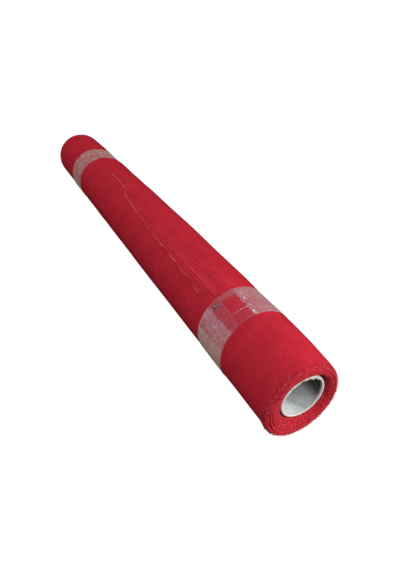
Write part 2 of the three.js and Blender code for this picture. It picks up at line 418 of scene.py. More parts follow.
def threads_at(tree, place):
    made = node(tree, "ShaderNodeGroup", node_tree=bpy.data.node_groups["net_threads"])
    tree.links.new(place, made.inputs[0])
    return made.outputs[0]


def colour_mix(tree, share, low, high, blend="MIX"):
    """A Mix node on two colours, each four numbers or another node's output."""
    made = node(tree, "ShaderNodeMix", data_type="RGBA", blend_type=blend)
    for socket, value in ((made.inputs[0], share), (made.inputs[6], low), (made.inputs[7], high)):
        if isinstance(value, bpy.types.NodeSocket):
            tree.links.new(value, socket)
        else:
            socket.default_value = value
    return made.outputs[2]


def noise(tree, place, scale, detail=2.0, **settings):
    made = node(tree, "ShaderNodeTexNoise", place, **settings)
    made.inputs["Scale"].default_value = scale
    made.inputs["Detail"].default_value = detail
    return made


def bumped(tree, shader, height, strength, distance):
    made = node(tree, "ShaderNodeBump")
    made.inputs["Strength"].default_value = strength
    made.inputs["Distance"].default_value = distance
    tree.links.new(height, made.inputs["Height"])
    tree.links.new(made.outputs[0], shader.inputs["Normal"])


def new_finish(name, **sockets):
    """A material with its Principled node, and that node's sockets set by name."""
    made = bpy.data.materials.new(name)
    made.use_nodes = True
    shader = made.node_tree.nodes["Principled BSDF"]
    for socket, value in sockets.items():
        shader.inputs[socket.replace("_", " ")].default_value = value
    return made, made.node_tree, shader


HOLE_RED = (0.47, 0.0115, 0.024, 1)
UNDER_RED = (0.55, 0.018, 0.034, 1)
THREAD_RED = (0.72, 0.036, 0.061, 1)
CREST_HIGHLIGHT_RED = (0.84, 0.085, 0.12, 1)
EDGE_HIGHLIGHT_RED = (0.92, 0.22, 0.28, 1)
RIB_SCALE = 0.116
RIB_DEEP = 0.90
net_group()


def red_net(name, streaked):
    """The skin of the roll: threads of the top net over those of the net below, and the cloth's own
    unevenness."""
    made, tree, shader = new_finish(
        name, Roughness=0.75, Specular_IOR_Level=0.0, Coat_Weight=1.0, Coat_IOR=1.0, Coat_Roughness=1.0,
        Coat_Tint=(0.95, 0.95, 0.95, 1),
    )
    uv = node(tree, "ShaderNodeUVMap", uv_map="cloth").outputs[0]
    place = node(tree, "ShaderNodeVectorMath", uv, (1000, 1000, 0), operation="MULTIPLY").outputs[0]
    drift = noise(tree, place, 0.03, 1.0, noise_dimensions="2D")
    pull = node(tree, "ShaderNodeVectorMath", drift.outputs["Color"], (5.0, 5.0, 0), operation="MULTIPLY")
    top = node(tree, "ShaderNodeVectorMath", place, pull.outputs[0], operation="ADD").outputs[0]
    turn = node(tree, "ShaderNodeMapping", top)
    turn.inputs["Rotation"].default_value = (0, 0, math.radians(7))
    turn.inputs["Scale"].default_value = (1.1, 0.94, 1)
    over = threads_at(tree, top)
    under = threads_at(tree, turn.outputs[0])
    deep = colour_mix(tree, under, HOLE_RED, UNDER_RED)
    colour = colour_mix(tree, over, deep, THREAD_RED)
    mottle = noise(tree, place, 0.035, 4.0, noise_dimensions="2D")
    shade = node(tree, "ShaderNodeMapRange", mottle.outputs[0], 0.3, 0.7, 0.92, 1.06).outputs[0]
    colour = colour_mix(tree, 1.0, colour, shade, "MULTIPLY")
    # Turns that lie crooked on each other show as soft ribs along and round the roll
    patches = noise(tree, place, 0.04, 2.0, noise_dimensions="2D").outputs[0]
    ribbed = node(tree, "ShaderNodeMapRange", patches, 0.4, 0.62).outputs[0]
    for direction in ("X", "Y"):
        rib = node(tree, "ShaderNodeTexWave", top, bands_direction=direction, wave_profile="SIN")
        rib.inputs["Scale"].default_value = RIB_SCALE
        rib.inputs["Distortion"].default_value = 1.2
        rib.inputs["Detail Scale"].default_value = 0.1
        light = node(tree, "ShaderNodeMapRange", rib.outputs["Fac"], 0.0, 1.0, RIB_DEEP, 2 - RIB_DEEP)
        soft = node(tree, "ShaderNodeMix", ribbed, None, 1.0, light.outputs[0])
        colour = colour_mix(tree, 1.0, colour, soft.outputs[0], "MULTIPLY")
    # Painted light and shade in thin streaks along the roll, strong where it is creased and faint elsewhere
    if streaked:
        grooves = node(tree, "ShaderNodeMapping", place)
        grooves.inputs["Scale"].default_value = (0.38, 0.012, 1)
        streak = noise(tree, grooves.outputs[0], 1.0, 3.0, noise_dimensions="2D").outputs[0]
        mark = node(tree, "ShaderNodeAttribute", attribute_name="creased").outputs["Fac"]
        wide = node(tree, "ShaderNodeMapRange", streak, 0.36, 0.62, 0.92, 1.06)
        faint = node(tree, "ShaderNodeMapRange", streak, 0.36, 0.62, 0.96, 1.03)
        lines = node(tree, "ShaderNodeMix", mark, None, faint.outputs[0], wide.outputs[0])
        colour = colour_mix(tree, 1.0, colour, lines.outputs[0], "MULTIPLY")
        # Painted highlight on the crests of the folds
        crest_highlight = node(tree, "ShaderNodeAttribute", attribute_name="crest_highlight").outputs["Fac"]
        colour = colour_mix(tree, crest_highlight, colour, CREST_HIGHLIGHT_RED)
        # Painted highlight along the cut edge
        pale = node(tree, "ShaderNodeAttribute", attribute_name="cut_edge").outputs["Fac"]
        colour = colour_mix(tree, pale, colour, EDGE_HIGHLIGHT_RED)
    tree.links.new(colour, shader.inputs["Base Color"])
    bumped(tree, shader, over, 0.3, 0.0002)
    return made


skin_finish = red_net("red_net_skin", False)


def turn_edge_finish():
    """Cut edges packed side by side: a dark base painted as the shade between the turns, with paler flecks
    of thread ends that are partly painted highlight.
    """
    made, tree, shader = new_finish("red_turn_edges", Roughness=0.8, Specular_IOR_Level=0.15)
    place = node(tree, "ShaderNodeTexCoord").outputs["Object"]
    flecks = node(tree, "ShaderNodeTexVoronoi", place, feature="F1")
    flecks.inputs["Scale"].default_value = 520
    fleck = node(tree, "ShaderNodeMapRange", flecks.outputs["Distance"], 0.15, 0.5, 1.0, 0.0)
    soft = noise(tree, place, 260, 3.0)
    # Painted shade in the dark base colour and painted highlight in the flecks
    base = colour_mix(tree, soft.outputs[0], (0.34, 0.006, 0.014, 1), (0.70, 0.028, 0.048, 1))
    colour = colour_mix(tree, fleck.outputs[0], base, (0.84, 0.062, 0.095, 1))
    tree.links.new(colour, shader.inputs["Base Color"])
    bumped(tree, shader, fleck.outputs[0], 0.8, 0.0005)
    return made


wound_cloth.data.materials.append(skin_finish)
wound_cloth.data.materials.append(turn_edge_finish())
EDGES_UP_TO = 0.78
edge_rows = int(END_ROWS * EDGES_UP_TO)
face_rows = np.arange(len(cloth_rows))
far_start = END_ROWS + SKIN_ROWS + END_ROWS - edge_rows
on_end = (face_rows < edge_rows) | ((face_rows >= far_start) & (face_rows < 2 * END_ROWS + SKIN_ROWS))
wound_cloth.data.polygons.foreach_set("material_index", np.repeat(on_end.astype(int), CLOTH_COLUMNS))
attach(wound_cloth, "root")
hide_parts("tulle_roll")

# Outermost turn
# The last turn of the folded tulle, drawn tight round the roll under both bands and over the
# shoulders. Its cut edge wanders along the top and stands up a little, painted paler as a highlight where
# it catches the light.
EDGE_RISE = 0.8 * MM
EDGE_LIP = 0.6 * MM
TURN_ROWS = 330
SHOULDER_ROWS = 12
SHOULDER_WAY = 0.74
# The cut edge: place along the roll in mm, and degrees round from +Y up to +Z
EDGE_X, EDGE_ANGLE = np.array([
    (-400, 104), (-141, 104), (-93, 103.5), (-66, 105.5), (-60, 107), (-52, 113), (-25, 116.5),
    (4, 120), (29, 121.5), (55, 124), (68, 126), (89, 127), (118, 127), (144, 128.6), (158, 128),
    (175, 131), (190, 130), (210, 133), (226, 134), (300, 135), (400, 136),
]).T
EDGE_X = EDGE_X * MM
# Stretches where the edge is painted paler as a highlight: from, to, how much
EDGE_LIT = [
    (-146, -60, 0.55), (-60, 22, 0.8), (22, 57, 0.45), (60, 68, 0.7), (80, 120, 0.7), (136, 160, 0.75),
    (169, 190, 0.55), (209, 225, 0.5),
]
CREASE_PITCH = 4.26 * MM
CREASE_RISE = 0.16 * MM
CREASE_SLOPE = 0.055
RIPPLE_PITCH = 5.6 * MM
RIPPLE_RISE = 0.05 * MM
RIPPLE_SLANT = math.radians(60)
# Single creases along the roll: from place and angle, to place and angle, height in mm, which also sets a
# painted highlight along each
LONE_CREASES = [
    (136, 133.5, 156, 130, 0.16), (206, 132.5, 226, 131.8, 0.16), (228, 135.2, 246, 134.8, 0.18),
    (184, 93, 243, 92, 0.10), (197, 91, 246, 90.5, 0.10), (205, 86, 247, 85.4, 0.09),
    (150, 100, 238, 97.5, 0.07), (196, 113.5, 246, 112.0, 0.16), (176, 117.2, 244, 116.0, 0.18),
    (120, 116, 180, 113.6, 0.12),
]


def length_share(x):
    return (x + END_X) / (2 * END_X)


def cut_edge(x):
    return np.interp(x, EDGE_X, EDGE_ANGLE) + 0.6 * soft_noise(0 * x, length_share(x), 1, 90, 5)


def edge_stands(x):
    """1 where the cut edge stands free, 0 where it lies flat beyond the bands."""
    return smooth((x + 0.155) / 0.03) * smooth((0.247 - x) / 0.03)


def edge_lit(x):
    """How strongly the cut edge's painted highlight shows along the roll."""
    total = 0 * x
    for start, stop, much in EDGE_LIT:
        total = np.maximum(total, much * smooth((x / MM - start) / 3) * smooth((stop - x / MM) / 3))
    return total * (0.85 + 0.35 * soft_noise(0 * x, length_share(x), 1, 110, 9))


def creases_on(x, angle):
    """Height of the folds pressed along the roll, how strongly each place is folded, and a painted
    highlight on their crests."""
    arc = np.radians(angle) * ROLL_MM * MM
    folded = smooth((x + 0.09) / 0.16) * smooth((0.262 - x) / 0.014)
    folded = folded * mix(0.55, 1.0, smooth((x - 0.03) / 0.15))
    folded = folded * smooth((angle - 98) / 14) * smooth((153 - angle) / 14)
    sway = 1.3 * MM * soft_noise(angle / 360, length_share(x), 24, 14, 31)
    waves = np.cos(2 * math.pi * (arc + sway + CREASE_SLOPE * x) / CREASE_PITCH)
    strong = 0.6 + 0.5 * soft_noise(angle / 360, length_share(x), 60, 16, 37)
    height = CREASE_RISE * folded * waves * strong
    ripple_zone = smooth((x - 0.09) / 0.03) * smooth((0.2 - x) / 0.03)
    ripple_zone = ripple_zone * smooth((angle - 66) / 12) * smooth((104 - angle) / 10)
    slantwise = arc * math.cos(RIPPLE_SLANT) + x * math.sin(RIPPLE_SLANT)
    ripples = np.sin(2 * math.pi * slantwise / RIPPLE_PITCH)
    height = height + RIPPLE_RISE * ripple_zone * ripples
    lone = 0 * height
    for x0, angle0, x1, angle1, rise in LONE_CREASES:
        across = (x / MM - x0) / (x1 - x0)
        off_line = (angle - mix(angle0, angle1, across)) * math.radians(1) * ROLL_MM
        ends = smooth((x / MM - x0) / 6) * smooth((x1 - x / MM) / 6)
        lone = lone + rise * ends * np.exp(-((off_line / 0.6) ** 2))
    # Painted highlights on the crests of the folds and along the single creases
    crest_highlight = 0.9 * folded * np.clip(waves, 0, 1) ** 8 * np.clip(strong, 0, 1) + 3.5 * lone
    return height + 0.5 * MM * lone, folded, np.clip(crest_highlight, 0, 0.8)


back = np.concatenate([np.arange(0, 60, 0.8), np.arange(60, 325, 2.5), np.arange(325, 360, 0.9)])
back = np.append(back, 360.0)[None, :]
turn_x = np.linspace(near_skin, far_skin, TURN_ROWS)[:, None]
turn_angle = cut_edge(turn_x) - back
free = 1 - held(turn_x)
stand = edge_stands(turn_x)
rise = EDGE_RISE * free * mix(0.12, 1.0, stand) * (1 - back / 360)
folds, creased, crest_highlight = creases_on(turn_x, turn_angle)
radius = skin_radius(turn_x, turn_angle) + rise + folds * mix(0.5, 1.0, free)
turn_points = on_roll(turn_x, turn_angle, radius)
lip_angle = cut_edge(turn_x) + 0.35
lip_radius = skin_radius(turn_x, lip_angle) + rise[:, :1] - EDGE_LIP * free * mix(0.3, 1.0, stand)
lip = on_roll(turn_x, lip_angle, lip_radius)
turn_points = np.concatenate([lip, turn_points], 1)
turn_angle = np.hstack([lip_angle, turn_angle])
creased = np.hstack([creased[:, :1], creased])
crest_highlight = np.hstack([crest_highlight[:, :1], crest_highlight])
from_edge = np.hstack([0 * turn_x, np.radians(back + 0 * turn_x) * ROLL_MM * MM])
# A painted highlight along the cut edge
pale = np.exp(-((from_edge / (0.95 * MM)) ** 2)) * edge_lit(turn_x)

# The turn goes on over each shoulder, close on the turns below it
shoulder_way = np.linspace(1, SHOULDER_WAY, SHOULDER_ROWS)[1:, None]
over_near = end_place(1, shoulder_way, turn_angle[:1], lift=0.12 * MM, plain=True)[::-1]
over_far = end_place(-1, shoulder_way, turn_angle[-1:], lift=0.12 * MM, plain=True)
spare = SHOULDER_ROWS - 1
turn_points = np.vstack([over_near, turn_points, over_far])
turn_angle = np.pad(turn_angle, ((spare, spare), (0, 0)), mode="edge")
creased, crest_highlight, pale = (np.pad(mark, ((spare, spare), (0, 0))) for mark in (creased, crest_highlight, pale))
turn_u = np.radians(np.hstack([turn_angle, turn_angle[:, -1:]])) * ROLL_MM * MM
turn_long = np.linalg.norm(np.diff(turn_points[:, :1], axis=0), axis=-1)
turn_v = np.vstack([[[0.8]], 0.8 - np.cumsum(turn_long, 0)])
outer_turn = grid_piece(
    "outermost_turn",
    turn_points,
    uv=(turn_u[:, :-1], turn_v),
    close_round=False,
    marks={"creased": creased, "crest_highlight": crest_highlight, "cut_edge": np.clip(pale, 0, 1)},
    turned=True,
)
outer_turn.data.materials.append(red_net("red_net_outer", True))
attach(outer_turn, "root")
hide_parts("tulle_roll")

# Turn edges
# Each turn of the net ends in a row of cut meshes, small open loops of thread that stand out of
# the roll's end. They follow the turns in a spiral from the tube out to the shoulder.
LOOP_INPUTS = [
    ("Pitch", 1.35 * MM), ("Loop width", 1.5 * MM), ("Loop height", 0.85 * MM),
    ("Thread radius", 0.17 * MM), ("Lean", 0.75), ("Least size", 0.5), ("Most size", 1.2),
]
LOOP_SEED = 7


def loop_tree():
    """Geometry Nodes that set a row of open loops on a path, standing along its attribute 'out'."""
    tree = bpy.data.node_groups.new("cut_meshes", "GeometryNodeTree")
    tree.interface.new_socket("Path", in_out="INPUT", socket_type="NodeSocketGeometry")
    for name, value in LOOP_INPUTS:
        socket = tree.interface.new_socket(name, in_out="INPUT", socket_type="NodeSocketFloat")
        socket.default_value = value
    tree.interface.new_socket("Finish", in_out="INPUT", socket_type="NodeSocketMaterial")
    tree.interface.new_socket("Loops", in_out="OUTPUT", socket_type="NodeSocketGeometry")
    given = node(tree, "NodeGroupInput").outputs

    def place(x, z):
        across = node(tree, "ShaderNodeMath", given["Loop width"], x, operation="MULTIPLY")
        up = node(tree, "ShaderNodeMath", given["Loop height"], z, operation="MULTIPLY")
        return node(tree, "ShaderNodeCombineXYZ", across.outputs[0], 0.0, up.outputs[0]).outputs[0]

    foot, top, other_foot = place(-0.5, -0.4), place(0.0, 2.4), place(0.5, -0.4)
    arch = node(tree, "GeometryNodeCurveQuadraticBezier", 4, foot, top, other_foot)
    section_of = node(tree, "GeometryNodeCurvePrimitiveCircle", 3)
    tree.links.new(given["Thread radius"], section_of.inputs["Radius"])
    loop = node(tree, "GeometryNodeCurveToMesh")
    tree.links.new(arch.outputs[0], loop.inputs["Curve"])
    tree.links.new(section_of.outputs[0], loop.inputs["Profile Curve"])
    loop.inputs["Fill Caps"].default_value = True

    line = node(tree, "GeometryNodeMeshToCurve", given["Path"])
    spaced = node(tree, "GeometryNodeResampleCurve", line.outputs[0], mode="LENGTH")
    tree.links.new(given["Pitch"], spaced.inputs["Length"])
    out = node(tree, "GeometryNodeInputNamedAttribute", "out", data_type="FLOAT_VECTOR").outputs[0]
    along = node(tree, "GeometryNodeInputTangent").outputs[0]
    stand_up = node(tree, "FunctionNodeAxesToRotation", along, out, primary_axis="X", secondary_axis="Z")
    back_lean = node(tree, "ShaderNodeMath", given["Lean"], -1.0, operation="MULTIPLY").outputs[0]
    least = node(tree, "ShaderNodeCombineXYZ", back_lean, back_lean, back_lean).outputs[0]
    most = node(tree, "ShaderNodeCombineXYZ", given["Lean"], given["Lean"], given["Lean"]).outputs[0]
    tilt = node(tree, "FunctionNodeRandomValue", least, most, data_type="FLOAT_VECTOR")
    tilt.inputs["Seed"].default_value = LOOP_SEED
    turn = node(tree, "FunctionNodeEulerToRotation", tilt.outputs[0])
    rotation = node(
        tree, "FunctionNodeRotateRotation", stand_up.outputs[0], turn.outputs[0], rotation_space="LOCAL"
    )
    size = node(tree, "FunctionNodeRandomValue", data_type="FLOAT")
    tree.links.new(given["Least size"], size.inputs[2])
    tree.links.new(given["Most size"], size.inputs[3])
    size.inputs["Seed"].default_value = LOOP_SEED + 1
    rows = node(tree, "GeometryNodeInstanceOnPoints", spaced.outputs[0])
    tree.links.new(loop.outputs[0], rows.inputs["Instance"])
    tree.links.new(rotation.outputs[0], rows.inputs["Rotation"])
    tree.links.new(size.outputs[1], rows.inputs["Scale"])
    real = node(tree, "GeometryNodeRealizeInstances", rows.outputs[0])
    smooth_faces = node(tree, "GeometryNodeSetShadeSmooth", real.outputs[0])
    painted = node(tree, "GeometryNodeSetMaterial", smooth_faces.outputs[0])
    tree.links.new(given["Finish"], painted.inputs["Material"])
    node(tree, "NodeGroupOutput", painted.outputs[0])
    return tree


def loops_on(name, path, out, finish):
    """A piece made of loops along a path of points, as a plain mesh."""
    line = bpy.data.meshes.new(name)
    line.from_pydata(path.tolist(), [(i, i + 1) for i in range(len(path) - 1)], [])
    line.attributes.new("out", "FLOAT_VECTOR", "POINT").data.foreach_set("vector", out.ravel())
    made = bpy.data.objects.new(name, line)
    bpy.context.collection.objects.link(made)
    row = made.modifiers.new("loops", "NODES")
    row.node_group = bpy.data.node_groups["cut_meshes"]
    sockets = row.node_group.interface.items_tree
    ids = {item.name: item.identifier for item in sockets if item.in_out == "INPUT"}
    for label, value in [*LOOP_INPUTS, ("Finish", finish)]:
        row[ids[label]] = value
    shape = made.evaluated_get(bpy.context.evaluated_depsgraph_get())
    real = bpy.data.meshes.new_from_object(shape)
    made.modifiers.clear()
    made.data = real
    real.name = name
    bpy.data.meshes.remove(line)
    return made


def loop_finish():
    """Thread ends, brighter and pinker than the net, each a little different."""
    made, tree, shader = new_finish("red_thread_ends", Roughness=0.6, Specular_IOR_Level=0.25)
    place = node(tree, "ShaderNodeTexCoord").outputs["Object"]
    vary = noise(tree, place, 420, 1.0)
    share = node(tree, "ShaderNodeMapRange", vary.outputs[0], 0.4, 0.62)
    colour = colour_mix(tree, share.outputs[0], (0.50, 0.014, 0.030, 1), (0.95, 0.11, 0.16, 1))
    tree.links.new(colour, shader.inputs["Base Color"])
    return made


loop_tree()
thread_finish = loop_finish()
SPIRAL_STEP = 3.0
INNER_WAY = 0.13
OUTER_WAY = 0.80
LEAST_LIFT = 1.0 * MM
for side, name in ((1, "turn_edges_near"), (-1, "turn_edges_far")):
    wound = np.arange(0, 360 * END_TURNS * (OUTER_WAY - INNER_WAY), SPIRAL_STEP)
    spiral_way = INNER_WAY + wound / (360 * END_TURNS)
    spiral_angle = wound + 360 * END_TURNS * INNER_WAY
    path = end_place(side, spiral_way, spiral_angle, lift=0.1 * MM)
    path[:, 2] = np.maximum(path[:, 2], LEAST_LIFT)
    farther_out = end_place(side, spiral_way + 0.03, spiral_angle)
    outward = farther_out - end_place(side, spiral_way - 0.03, spiral_angle)
    out = np.cross(np.gradient(path, axis=0), outward)
    out = out / np.linalg.norm(out, axis=1, keepdims=True)
    out = out * np.sign(out[:, :1] * side + 1e-9)
    edges = loops_on(name, path, out, thread_finish)
    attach(edges, "root")
    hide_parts("tulle_roll")

# Paper tube
# A spiral-wound board tube, grey-white and unprinted. Its near end was cut roughly, so that the
# inmost ply hangs torn into the bore.
TUBE_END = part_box("paper_core")[1].x
TUBE_WALL = 2.3 * MM
TUBE_COLUMNS = 288
TUBE_INNER = CORE_R - TUBE_WALL
TEAR_DEPTH = 3.6 * MM
tube_angle = np.arange(TUBE_COLUMNS)[None, :] * (360 / TUBE_COLUMNS)
tear_span = smooth((tube_angle % 360 - 30) / 34) * smooth((178 - tube_angle % 360) / 60)
tear = 0.55 + 0.45 * soft_noise(tube_angle / 360, 0 * tube_angle, 46, 1, 3)
tear = tear * (0.7 + 0.3 * soft_noise(tube_angle / 360, 0 * tube_angle, 13, 1, 4))
notch = smooth(np.abs(angle_off(tube_angle, 56)) / 8)
torn = TEAR_DEPTH * tear_span * np.clip(tear, 0, 1) * notch
fray = 0.2 * MM * soft_noise(tube_angle / 360, 0 * tube_angle, 90, 1, 6)


def tube_row(x, radius, rough=0.0):
    x, radius = np.broadcast_arrays(x + rough * fray, radius + 0 * tube_angle)
    turn = np.radians(tube_angle)
    return np.stack([x, radius * np.cos(turn), AXIS_Z + radius * np.sin(turn)], -1)[0]


lip_in = TUBE_INNER - torn
tube_rows = [
    (TUBE_END - 4 * MM, TUBE_INNER, 0, 0.0),
    (TUBE_END - 2.2 * MM, TUBE_INNER, 0, 0.3),
    (TUBE_END - 1.4 * MM, mix(TUBE_INNER, lip_in, 0.75), 0, 0.8),
    (TUBE_END - 0.9 * MM, lip_in, 0.5, 1.0),
    (TUBE_END - 0.35 * MM, lip_in + 0.15 * MM, 0.8, 1.0),
    (TUBE_END - 0.1 * MM, mix(TUBE_INNER, CORE_R, 0.3), 1, 1.0),
    (TUBE_END - 0.05 * MM, mix(TUBE_INNER, CORE_R, 0.6), 1, 1.0),
    (TUBE_END - 0.3 * MM, CORE_R - 0.35 * MM, 1, 1.0),
    (TUBE_END - 0.9 * MM, CORE_R, 0.4, 0.4),
    (TUBE_END - 3 * MM, CORE_R, 0, 0.0),
    (0.0, CORE_R, 0, 0.0),
    (-TUBE_END + 3 * MM, CORE_R, 0, 0.0),
    (-TUBE_END + 0.4 * MM, CORE_R, 0.4, 0.6),
    (-TUBE_END + 0.1 * MM, CORE_R - 0.3 * MM, 0.4, 1.0),
    (-TUBE_END + 0.1 * MM, TUBE_INNER + 0.3 * MM, 0.4, 1.0),
    (-TUBE_END + 0.4 * MM, TUBE_INNER, 0.4, 0.6),
    (-TUBE_END + 3 * MM, TUBE_INNER, 0, 0.0),
    (-0.2, TUBE_INNER, 0, 0.0),
    (0.0, TUBE_INNER, 0, 0.0),
    (0.2, TUBE_INNER, 0, 0.0),
    (TUBE_END - 60 * MM, TUBE_INNER, 0, 0.0),
    (TUBE_END - 20 * MM, TUBE_INNER, 0, 0.0),
]
tube_points = np.stack([tube_row(x, radius, rough) for x, radius, rough, raw in tube_rows])
raw_board = np.array([raw for x, radius, rough, raw in tube_rows])[:, None]
tube_round = np.linspace(0, 1, TUBE_COLUMNS + 1)[None, :] * 2 * math.pi * CORE_R
tube_along = np.array([row[0] for row in tube_rows + tube_rows[:1]])[:, None] + 0.4
# Inside, light and shade are painted into the board's colour: darker over the +Y side and the top, lighter
# along the bottom
BORE_ANGLES = [-180, -110, -60, -45, -30, -18, 0, 90, 125, 150, 180]
BORE_PAINTED_LIGHT = [0.98, 1.15, 1.15, 0.9, 0.42, 0.12, 0.07, 0.07, 0.4, 0.85, 0.98]
inside = [np.max(radius) <= TUBE_INNER and abs(x) <= TUBE_END - 2 * MM for x, radius, *_ in tube_rows]
painted_shade = np.interp(angle_off(tube_angle, 0), BORE_ANGLES, BORE_PAINTED_LIGHT)
painted_bore_light = np.where(np.array(inside)[:, None], painted_shade, 1.0)
paper_tube = grid_piece(
    "paper_tube", tube_points, uv=(tube_round, tube_along), close_long=True,
    marks={"raw_board": raw_board, "painted_bore_light": painted_bore_light},
)


def board_finish():
    """Grey-white board: pressed fibres, faint stains, the seams of its wound plies, and painted light and
    shade inside the bore.
    """
    made, tree, shader = new_finish("grey_board", Roughness=0.88, Specular_IOR_Level=0.05)
    uv = node(tree, "ShaderNodeUVMap", uv_map="cloth").outputs[0]
    place = node(tree, "ShaderNodeTexCoord").outputs["Object"]
    fibres = noise(tree, place, 500, 6.0)
    stains = noise(tree, place, 60, 3.0)
    grey = colour_mix(tree, stains.outputs[0], (0.62, 0.66, 0.64, 1), (0.84, 0.87, 0.86, 1))
    flecked = node(tree, "ShaderNodeMapRange", fibres.outputs[0], 0.35, 0.65, 0.9, 1.08)
    grey = colour_mix(tree, 1.0, grey, flecked.outputs[0], "MULTIPLY")
    slant = node(tree, "ShaderNodeMapping", uv)
    slant.inputs["Rotation"].default_value = (0, 0, math.radians(32))
    wave = node(tree, "ShaderNodeTexWave", slant.outputs[0], bands_direction="X")
    wave.inputs["Scale"].default_value = 5.2
    seam = node(tree, "ShaderNodeMapRange", wave.outputs["Fac"], 0.0, 0.02, 0.82, 1.0)
    grey = colour_mix(tree, 1.0, grey, seam.outputs[0], "MULTIPLY")
    # Painted light and shade inside the bore
    light = node(tree, "ShaderNodeAttribute", attribute_name="painted_bore_light").outputs["Fac"]
    grey = colour_mix(tree, 1.0, grey, light, "MULTIPLY")
    raw = node(tree, "ShaderNodeAttribute", attribute_name="raw_board").outputs["Fac"]
    colour = colour_mix(tree, raw, grey, (0.80, 0.76, 0.72, 1))
    tree.links.new(colour, shader.inputs["Base Color"])
    bumped(tree, shader, fibres.outputs[0], 0.4, 0.0003)
    return made


paper_tube.data.materials.append(board_finish())
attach(paper_tube, "root")
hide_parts("paper_core")

# Film bands
# Clear parcel film wound tight round the cloth and stuck down on itself. It is milky and crinkled
# where it doubles or has lifted, and clear in one window beside its cut end.
FILM_GAP = 0.35 * MM
FILM_STEP = 0.15 * MM
FILM_COLUMNS = 430
FILM_PITCH = 0.7 * MM


def bump_at(x, angle, spots):
    """Soft spots, each a place in mm and degrees, with its half widths in mm along and round."""
    total = 0 * x
    for spot_x, spot_angle, half_long, half_round, strength in spots:
        dx = (x / MM - spot_x) / half_long
        dr = angle_off(angle, spot_angle) * math.radians(1) * 45 / half_round
        total = total + strength * np.exp(-(dx ** 2) - dr ** 2)
    return total


def line_at(distance, half_width):
    return np.exp(-((distance / half_width) ** 2))


def between(value, low, high, soft):
    return smooth((value - low) / soft) * smooth((high - value) / soft)


def crinkle(angle, x, round_cells, long_cells, seed):
    """Sharp random creases, 1 on a crease and 0 between."""
    waves = soft_noise(angle / 360, (x - x.min()) / (x.max() - x.min()), round_cells, long_cells, seed)
    return np.clip(1 - np.abs(waves) * 4, 0, 1)


def near_film(x, angle):
    """How solid, how bright with painted glints and what colour the near band's film is at each place,
    where it is double and how far it has lifted."""
    mm = x / MM
    turned = (angle + 60) % 360 - 60 + 0 * x
    share = (mm - 248) / 49
    cut = 116.5 + (mm - 249) * 6 / 47 + 0.8 * soft_noise(0 * turned, share, 1, 9, 56)
    fine = crinkle(angle, x, 90, 14, 52)
    tight = crinkle(angle, x, 170, 26, 57)
    broad = soft_noise(angle / 360, share, 40, 6, 53)
    small = soft_noise(angle / 360, share, 120, 20, 55)
    moved = turned + 1.5 * broad + 0.8 * small
    solid = np.interp(moved, NEAR_ANGLES, NEAR_SOLID)
    haze = np.stack([np.interp(moved, NEAR_ANGLES, column) for column in np.array(NEAR_HAZES).T], -1)
    solid = solid + (0.07 * broad + 0.06 * small) * (solid > 0.2)
    window_edge = 94.0 + 1.8 * soft_noise(0 * turned, share, 1, 14, 51)
    in_window = between(turned, window_edge, cut, 1.4)
    beside = in_window * (0.05 * smooth((mm - 283) / 1.5) + 0.22 * smooth((258.5 - mm) / 1.5))
    solid = mix(solid, 0.03 + beside, in_window)
    crushed = between(turned, 135, 163, 3)
    solid = solid + crushed * (0.18 * fine + 0.14 * tight - 0.03)
    # A crushed patch beside the cut end, painted dark as the shade in its crinkles, with pale lines where
    # it is folded
    shade_patch = between(mm, 252.5, 262.5, 1.5) * between(turned, 119, 134, 2)
    haze = mix(haze, np.array((0.16, 0.12, 0.13)), (shade_patch * (1 - fine))[..., None])
    solid = mix(solid, 0.48, shade_patch)
    # Lighter lines at the film's edges and folds, partly painted glints
    lines = 0.55 * line_at(mm - 282 + 0.03 * (turned - 107), 0.5) * between(turned, 93, 119, 2)
    lines = lines + 0.35 * line_at(mm - 260 - 0.04 * (turned - 107), 0.4) * between(turned, 97, 117, 2)
    lines = lines + 0.16 * line_at((turned - cut) * 0.77, 0.5) * smooth((mm - 262) / 4)
    lines = lines + 0.22 * line_at(mm - 251, 0.5) * between(turned, 118, 173, 3)
    lines = lines + 0.15 * (line_at(mm - 249.0, 0.5) + line_at(mm - 296.4, 0.5))
    axial = 0.10 * line_at(turned - 98.5, 0.5) + 0.08 * line_at(turned - 102.5, 0.4)
    axial = axial + 0.08 * line_at(turned - 110, 0.5)
    lines = lines + axial * between(mm, 259, 283, 2)
    # Painted glints on spots, crinkles and the bright lines
    spots = bump_at(x, angle, NEAR_GLINTS)
    flecks = soft_noise(angle / 360, share, 260, 40, 54)
    glint = np.clip(spots * (0.7 + 1.3 * flecks), 0, 1) + 0.45 * tight * fine * crushed
    glint = glint + 0.3 * lines * (lines > 0.2)
    raised = 0.12 * fine * crushed + 0.08 * broad * (1 - in_window)
    doubled = np.where(turned > cut, 1.0, 0.0)
    return np.clip(solid + lines, 0.03, 0.9), np.clip(glint, 0, 1), haze, doubled, raised


# The near band going round: degrees, how solid it looks, and the colour of its haze
NEAR_ANGLES = [-60, 40, 57, 66, 80, 90, 117, 120, 133, 137, 148, 151, 162, 166, 200, 300]
NEAR_SOLID = [0.5, 0.55, 0.5, 0.45, 0.42, 0.42, 0.36, 0.17, 0.19, 0.48, 0.46, 0.36, 0.42, 0.62, 0.68, 0.5]
NEAR_HAZES = [
    (0.60, 0.44, 0.46), (0.60, 0.47, 0.48), (0.60, 0.46, 0.48), (0.62, 0.43, 0.46), (0.66, 0.42, 0.46),
    (0.66, 0.40, 0.45), (0.65, 0.30, 0.40), (0.66, 0.28, 0.38), (0.68, 0.30, 0.41), (0.80, 0.44, 0.54),
    (0.84, 0.47, 0.56), (0.86, 0.50, 0.54), (0.86, 0.52, 0.52), (0.86, 0.57, 0.52), (0.84, 0.62, 0.57),
    (0.60, 0.44, 0.46),
]
